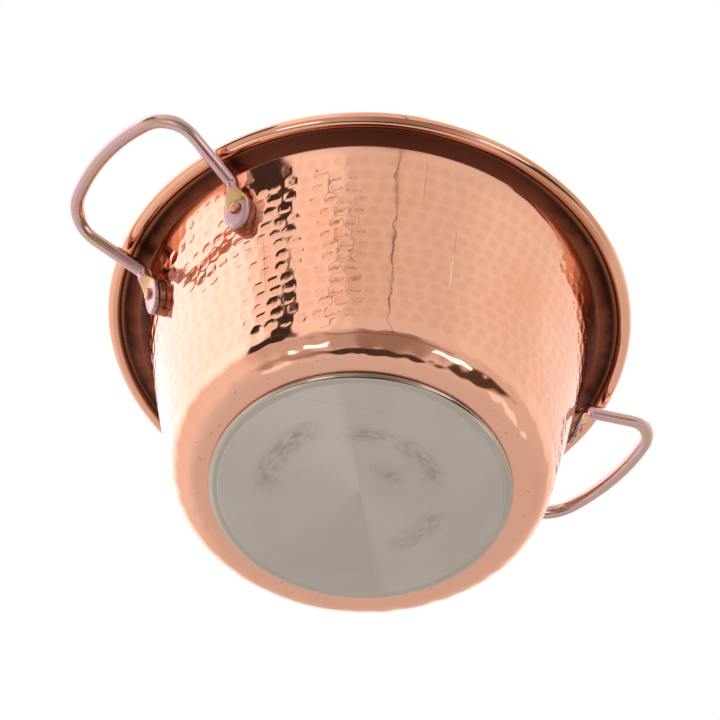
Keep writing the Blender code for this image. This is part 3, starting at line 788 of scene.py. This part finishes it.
def loop_path(neck):
    """Half of the loop's centreline, from the leg's start to the middle of the grip."""
    grip_radius = (GRIP_HALF_WIDTH ** 2 + GRIP_BOW ** 2) / (2 * GRIP_BOW)
    grip_centre = Vector((LOOP_LENGTH - grip_radius, 0))
    start = Vector((0, neck.y))
    leg = (Vector((LOOP_LENGTH - GRIP_BOW, GRIP_HALF_WIDTH)) - start).normalized()
    inward = Vector((leg.y, -leg.x))
    offset = start + inward * GRIP_CORNER_RADIUS - grip_centre
    along = offset.dot(leg)
    leg_length = math.sqrt(along ** 2 - offset.length_squared
                           + (grip_radius - GRIP_CORNER_RADIUS) ** 2) - along
    leg_end = start + leg * leg_length
    corner = leg_end + inward * GRIP_CORNER_RADIUS
    begin = math.atan2(-inward.y, -inward.x)
    turn = math.atan2(corner.y - grip_centre.y, corner.x - grip_centre.x)
    flat = [start + leg * leg_length * share for share in np.arange(3, 12) / 12]
    flat += [Vector(p) for p in arc(corner, GRIP_CORNER_RADIUS, begin, turn, 16)]
    flat += [Vector(p) for p in arc(grip_centre, grip_radius, turn, 0, 14)[1:]]
    run, rise = math.cos(LOOP_RISE_ANGLE), math.sin(LOOP_RISE_ANGLE)
    return [Vector((neck.x + p[0] * run, p[1], neck.z + p[0] * rise)) for p in flat]


def handle_rings():
    """Sections of half a handle at +X, from the palm's tip to the plane y = 0."""
    rivet, across, up, out = wall_axes(RIVET_ANGLE)
    rings = []
    for height, wide, thick, share in palm_sections():
        centre = rivet + up * height + out * (PALM_OFFSET + max(thick, PALM_THICKNESS / 2))
        rings.append((centre, across, out, wide, thick, 4.2 + (2 - 4.2) * share))
    neck = rivet + up * NECK_ABOVE_RIVET + out * (PALM_OFFSET + ROD_RADIUS)
    path = loop_path(neck)
    line = fillet(rings[-1][0], neck, path[0], NECK_BEND_RADIUS, 8) + path
    side, normal = across, out
    for i, point in enumerate(line):
        if i == 0:
            tangent = up
        elif i == len(line) - 1:
            tangent = Vector((0, -1, 0))
        else:
            tangent = (line[i + 1] - line[i - 1]).normalized()
        side = (side - tangent * side.dot(tangent)).normalized()
        turned = side.cross(tangent)
        normal = turned if turned.dot(normal) > 0 else -turned
        rings.append((point, side, normal, ROD_RADIUS, ROD_RADIUS, 2))
    return rings


def section_points(section, sides):
    centre, side, normal, wide, thick, squareness = section
    points = []
    for i in range(sides):
        turn = math.tau * (i + 0.5) / sides
        c, s = math.cos(turn), math.sin(turn)
        x = math.copysign(abs(c) ** (2 / squareness), c) * wide
        y = math.copysign(abs(s) ** (2 / squareness), s) * thick
        points.append(centre + side * x + normal * y)
    return points


def countersink(turn):
    """A cutter for a palm's hole, widened where it meets the palm's face."""
    wide, deep = 0.0036, 0.0009
    rings = [(-0.002, SHANK_RADIUS + CLEARANCE), (PALM_FACE_OFFSET - deep, SHANK_RADIUS + CLEARANCE),
             (PALM_FACE_OFFSET, wide), (PALM_FACE_OFFSET + 0.002, wide)]
    sections = [ring(0, rings[0][0], 1)] + [ring(r, z, 32) for z, r in rings] + [ring(0, rings[-1][0], 1)]
    mesh = bpy.data.meshes.new("countersink")
    mesh.from_pydata([tuple(p) for p in np.concatenate(sections)], [], skin_faces(sections))
    made = bpy.data.objects.new("countersink", mesh)
    bpy.context.scene.collection.objects.link(made)
    made.matrix_world = on_wall(turn)
    return made


def make_handle(side, turn, material):
    sides = 24
    half = [section_points(section, sides) for section in handle_rings()]
    mirrored = [[Vector((p.x, -p.y, p.z)) for p in row] for row in half[:-1]][::-1]
    spin = Matrix.Rotation(turn, 3, "Z")
    points = [spin @ p for row in half + mirrored for p in row]
    made = new_piece("handle_rod_" + side, points, closed_tube_faces(len(points), sides), material)
    fix_outward(made)
    for sign in (1, -1):
        cutter = countersink(turn + sign * RIVET_ANGLE)
        apply_cut(made, cutter)
    made.data.set_sharp_from_angle(angle=math.radians(40))
    place(made, "handle_steel", "handle_" + side)


def fix_outward(piece):
    shape = bmesh.new()
    shape.from_mesh(piece.data)
    bmesh.ops.recalc_face_normals(shape, faces=shape.faces)
    shape.to_mesh(piece.data)
    shape.free()


def apply_cut(piece, cutter):
    """Cuts the piece and removes the cutter."""
    fix_outward(cutter)
    hole = piece.modifiers.new("hole", "BOOLEAN")
    hole.operation = "DIFFERENCE"
    hole.object = cutter
    bpy.context.view_layer.update()
    ready = piece.evaluated_get(bpy.context.evaluated_depsgraph_get())
    mesh = bpy.data.meshes.new_from_object(ready)
    piece.modifiers.clear()
    piece.data = mesh
    bpy.data.objects.remove(cutter, do_unlink=True)


def make_pad(side, end, turn, material):
    """The oval copper plate under a palm, with its edge rounded over."""
    steps = 40
    round_over = 0.0004
    rows = []
    top = PAD_THICKNESS + CLEARANCE
    for inset_by, lift in ((0.004, -PAD_SUNK), (0, -PAD_SUNK), (0, top - round_over),
                           (round_over * 0.3, top - round_over * 0.3), (round_over, top), (0.004, top)):
        row = []
        for i in range(steps):
            t = math.tau * i / steps
            tall = PAD_ABOVE_RIVET if math.sin(t) > 0 else PALM_BELOW_RIVET + PAD_MARGIN
            row.append(((PALM_HALF_WIDTH + PAD_MARGIN - inset_by) * math.cos(t),
                        (tall - inset_by) * math.sin(t), PAD_OFFSET + lift))
        rows.append(row)
    matrix = on_wall(turn)
    points = [matrix @ Vector(p) for row in rows for p in row]
    faces = closed_tube_faces(len(points), steps)
    made = new_piece(f"pad_plate_{side}_{end}", points, faces, material, math.radians(40))
    fix_outward(made)
    place(made, "copper", f"pad_{side}_{end}")


def make_rivet(side, end, turn, material):
    """A pin with a domed head in the pot and a peened end outside."""
    sides = 36
    seat = -COPPER_SHEET - CLEARANCE - HEAD_RADIUS ** 2 / (2 * WALL_FOOT_RADIUS)
    top = PALM_FACE_OFFSET + CLEARANCE + PEENED_HEIGHT
    low = PALM_FACE_OFFSET - 0.0005
    profile = [(0, top), (PEENED_RADIUS * 0.55, top - 0.00005)]
    profile += arc((PEENED_RADIUS - 0.0007, top - 0.0008), 0.0007, math.radians(80), 0, 5)
    profile += [(PEENED_RADIUS, top - 0.0014), (PEENED_RADIUS * 0.97, low), (SHANK_RADIUS, low - 0.0002),
                (SHANK_RADIUS, seat), (HEAD_RADIUS * 0.98, seat), (HEAD_RADIUS, seat - 0.0001)]
    for share in np.arange(0, 11) / 10:
        t = -share * math.pi / 2
        profile.append((HEAD_RADIUS * math.cos(t) if share < 1 else 0,
                        seat - HEAD_EDGE_HEIGHT + (HEAD_HEIGHT - HEAD_EDGE_HEIGHT) * math.sin(t)))
    rings = [ring(r, z, 1 if r == 0 else sides) for r, z in profile[::-1]]
    matrix = on_wall(turn)
    points = [matrix @ Vector(p) for p in np.concatenate(rings)]
    made = new_piece(f"rivet_pin_{side}_{end}", points, skin_faces(rings), material, math.radians(35))
    fix_outward(made)
    place(made, "copper", f"rivet_{side}_{end}")


# The studio.

LAMP_WARMTH = (1.0, 0.985, 0.96)
WARM_SHADE = (1.0, 0.78, 0.70)
COOL_GLARE = (1.0, 0.97, 1.10)
# The soft panels and shaded gaps of the studio that the polished metal mirrors, in degrees: azimuth,
# elevation, half width, half height, softness at the sides, softness above and below, level and
# lean (degrees of azimuth per degree of elevation). Azimuth 0 is the camera's side and grows to its
# right. A later one covers those before it.
STUDIO_LEVEL = 0.76
STUDIO = {
    "far_wall": (180, -42, 62, 34, 20, 12, 0.69, 0),
    "far_table": (180, 56, 92, 46, 24, 8, 1.10, 0),
    "right_table": (112, 56, 26, 48, 12, 8, 1.04, 0),
    "left_table": (-108, 58, 50, 54, 14, 4, 1.72, 0),
    "left_wall": (-108, -18, 48, 30, 14, 14, 0.95, 0),
    "left_front_wall": (-42, -12, 18, 34, 10, 16, 0.64, 0),
    "front_wall": (8, -16, 34, 50, 8, 12, 0.54, 0),
    "left_front_table": (-30, 56, 25, 54, 6, 8, 1.07, 0),
    "front_table": (17, 56, 31.5, 62, 4, 10, 0.80, 0),
    "right_front_table": (70, 56, 24, 44, 12, 10, 0.93, 0),
    "camera_shade": (12, -32, 18, 34, 9, 4, 0.34, 0),
    "left_low_shade": (-62, -63, 18, 16, 10, 8, 0.48, 0),
    "lamp_shade": (72, -40, 13, 22, 5, 5, 0.09, 0),
    "ceiling": (8, -86, 62, 20, 14, 4, 0.07, 0),
    "light_strip": (-6, -63.5, 9, 1.4, 2, 0.8, 0.75, 0),
    "left_softbox": (-34, -45.5, 9, 5.5, 1.5, 1.5, 2.6, 0.5),
    "right_softbox": (49, -29.5, 11, 5.5, 1.2, 1.2, 2.6, 0),
    "right_low_softbox": (102, -45, 11, 5, 3, 3, 1.25, 0),
    "left_low_softbox": (-105, -69, 19, 3.5, 4, 2, 1.25, 0),
    "horizon_seam": (8, -13, 34, 1.2, 6, 1.0, 0.15, 0),
    "left_seam_low": (-21, 25.5, 0.7, 6, 0.5, 1, 0.12, 0.91),
    "left_seam_top": (-11, 30, 0.7, 2.2, 0.5, 0.5, 0.12, -2.2),
    "right_seam": (9.5, 24, 0.32, 33, 0.3, 3, 0.05, 0),
    "left_stretch": (-50, 14, 13, 7, 3, 2, 0.12, 0),
    "left_gap_low": (-50, 14.2, 11.7, 12.3, 1.5, 0.8, 0.05, 0),
    "left_gap_middle": (-44.5, 24, 6.2, 4.8, 1.0, 0.8, 0.05, 0),
    "left_gap_top": (-41.2, 27, 2.9, 3.8, 1.0, 0.8, 0.05, 0),
}


def make_world():
    world = bpy.data.worlds.new("studio")
    bpy.context.scene.world = world
    world.use_nodes = True
    tree = world.node_tree
    background = tree.nodes["Background"]

    def calc(operation, *values):
        return add_node(tree, "ShaderNodeMath", dict(enumerate(values)), operation=operation).outputs[0]

    def smooth(value, low, high):
        inputs = {"Value": value, "From Min": low, "From Max": high}
        node = add_node(tree, "ShaderNodeMapRange", inputs, interpolation_type="SMOOTHSTEP")
        return node.outputs["Result"]

    direction = add_node(tree, "ShaderNodeTexCoord").outputs["Generated"]
    turned = add_node(tree, "ShaderNodeVectorRotate", {"Vector": direction, "Angle": -CAMERA_AZIMUTH},
                      rotation_type="Z_AXIS").outputs[0]
    axes = add_node(tree, "ShaderNodeSeparateXYZ", {"Vector": turned}).outputs
    azimuth = calc("DEGREES", calc("ARCTAN2", axes["X"], calc("MULTIPLY", axes["Y"], -1)))
    elevation = calc("DEGREES", calc("ARCSINE", axes["Z"]))
    def blend(factor, a, b, kind="FLOAT"):
        node = add_node(tree, "ShaderNodeMix", data_type=kind)
        first = 2 if kind == "FLOAT" else 6
        for index, value in ((0, factor), (first, a), (first + 1, b)):
            connect(tree, node.inputs[index], value)
        return node.outputs[0 if kind == "FLOAT" else 2]

    level = STUDIO_LEVEL
    for panel in STUDIO.values():
        at_azimuth, at_elevation, wide, tall, side_edge, top_edge, panel_level, lean = panel
        above = calc("SUBTRACT", elevation, at_elevation)
        aside = calc("WRAP", calc("SUBTRACT", azimuth, at_azimuth), 180, -180)
        if lean:
            aside = calc("SUBTRACT", aside, calc("MULTIPLY", above, lean))
        mask = calc("MULTIPLY", smooth(calc("ABSOLUTE", aside), wide + side_edge, wide - side_edge),
                    smooth(calc("ABSOLUTE", above), tall + top_edge, tall - top_edge))
        level = blend(mask, level, panel_level)
    path = add_node(tree, "ShaderNodeLightPath").outputs
    clear = calc("MAXIMUM", path["Is Camera Ray"], path["Is Transmission Ray"])
    strength = calc("MAXIMUM", blend(path["Is Glossy Ray"], 0.75, level), clear)
    shade = blend(smooth(strength, 0.75, 0.25), (1, 1, 1), WARM_SHADE, "RGBA")
    shade = blend(smooth(strength, 1.1, 1.6), shade, COOL_GLARE, "RGBA")
    connect(tree, background.inputs["Color"], shade)
    connect(tree, background.inputs["Strength"], strength)


def make_floor():
    """A pale floor that is seen from above only, so that the pot can be seen from below too."""
    bpy.ops.mesh.primitive_plane_add(size=6, location=(0, 0, -0.0005))
    floor = bpy.context.object
    floor.name = "floor"
    material = bpy.data.materials.new("pale_floor")
    material.use_nodes = True
    tree = material.node_tree
    tree.nodes.clear()
    path = add_node(tree, "ShaderNodeLightPath").outputs
    facing = add_node(tree, "ShaderNodeNewGeometry").outputs["Backfacing"]
    from_above = add_node(tree, "ShaderNodeMath", {0: path["Is Camera Ray"], 1: facing},
                          operation="SUBTRACT", use_clamp=True).outputs[0]
    pale = add_node(tree, "ShaderNodeBsdfDiffuse", {"Color": (0.92, 0.92, 0.91)}).outputs[0]
    clear = add_node(tree, "ShaderNodeBsdfTransparent").outputs[0]
    mixed = add_node(tree, "ShaderNodeMixShader", {0: from_above, 1: clear, 2: pale}).outputs[0]
    add_node(tree, "ShaderNodeOutputMaterial", {"Surface": mixed})
    floor.data.materials.append(material)


def make_lamp(name, place_at, size, power):
    lamp = bpy.data.lights.new(name, "AREA")
    lamp.size = size
    lamp.energy = power
    lamp.color = LAMP_WARMTH
    made = bpy.data.objects.new(name, lamp)
    made.location = place_at
    made.rotation_euler = (-Vector(place_at)).to_track_quat("-Z", "Y").to_euler()
    bpy.context.scene.collection.objects.link(made)


def make_camera():
    """The photograph's camera, below the pot, aimed so that the origin falls on its pixel."""
    back = Vector((0, -math.cos(CAMERA_ELEVATION), math.sin(CAMERA_ELEVATION)))
    forward = -back
    level_right = Vector((1, 0, 0))
    level_up = level_right.cross(forward)
    right = level_right * math.cos(CAMERA_ROLL) + level_up * math.sin(CAMERA_ROLL)
    up = level_up * math.cos(CAMERA_ROLL) - level_right * math.sin(CAMERA_ROLL)
    middle = PHOTO_SIZE / 2
    aim = Vector(((ORIGIN_PIXEL[0] - middle) / FOCAL_PIXELS, (middle - ORIGIN_PIXEL[1]) / FOCAL_PIXELS, 1))
    turn = Vector((0, 0, 1)).rotation_difference(aim).to_matrix()
    axes = turn @ Matrix((right, up, forward))
    data = bpy.data.cameras.new("camera")
    data.sensor_width = 36
    data.lens = FOCAL_PIXELS * data.sensor_width / PHOTO_SIZE
    data.clip_end = 20
    camera = bpy.data.objects.new("camera", data)
    bpy.context.scene.collection.objects.link(camera)
    spin = Matrix.Rotation(CAMERA_AZIMUTH, 4, "Z")
    pose = Matrix((axes[0], axes[1], -axes[2])).transposed().to_4x4()
    pose.translation = back * CAMERA_DISTANCE
    camera.matrix_world = spin @ pose
    bpy.context.scene.camera = camera


def dress_hidden_solids():
    """The wire in the bead and the core under the cap stay as they are."""
    finishes = {"rim_wire": plain_metal("wire_steel", (0.36, 0.35, 0.35), 0.40),
                "base_core": plain_metal("core_aluminium", (0.70, 0.71, 0.72), 0.38)}
    for node, finish in finishes.items():
        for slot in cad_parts[node].material_slots:
            slot.material = finish


def build():
    copper = copper_material()
    make_copper_shell(copper)
    make_steel_cap(steel_material())
    zinc = zinc_material()
    rivet_copper = rivet_material()
    pad_copper_shaded = shaded_pad_material()
    for side, turn in (("right", 0), ("left", math.pi)):
        make_handle(side, turn, zinc)
        for end, sign in (("front", -1), ("back", 1)):
            way = sign if side == "right" else -sign
            make_pad(side, end, turn + way * RIVET_ANGLE, pad_copper_shaded)
            make_rivet(side, end, turn + way * RIVET_ANGLE, rivet_copper)
    dress_hidden_solids()
    make_world()
    make_floor()
    make_lamp("top_lamp", (0.5, -0.4, 1.3), 0.9, 6)
    make_camera()
    bpy.context.scene.view_settings.view_transform = "Standard"


build()
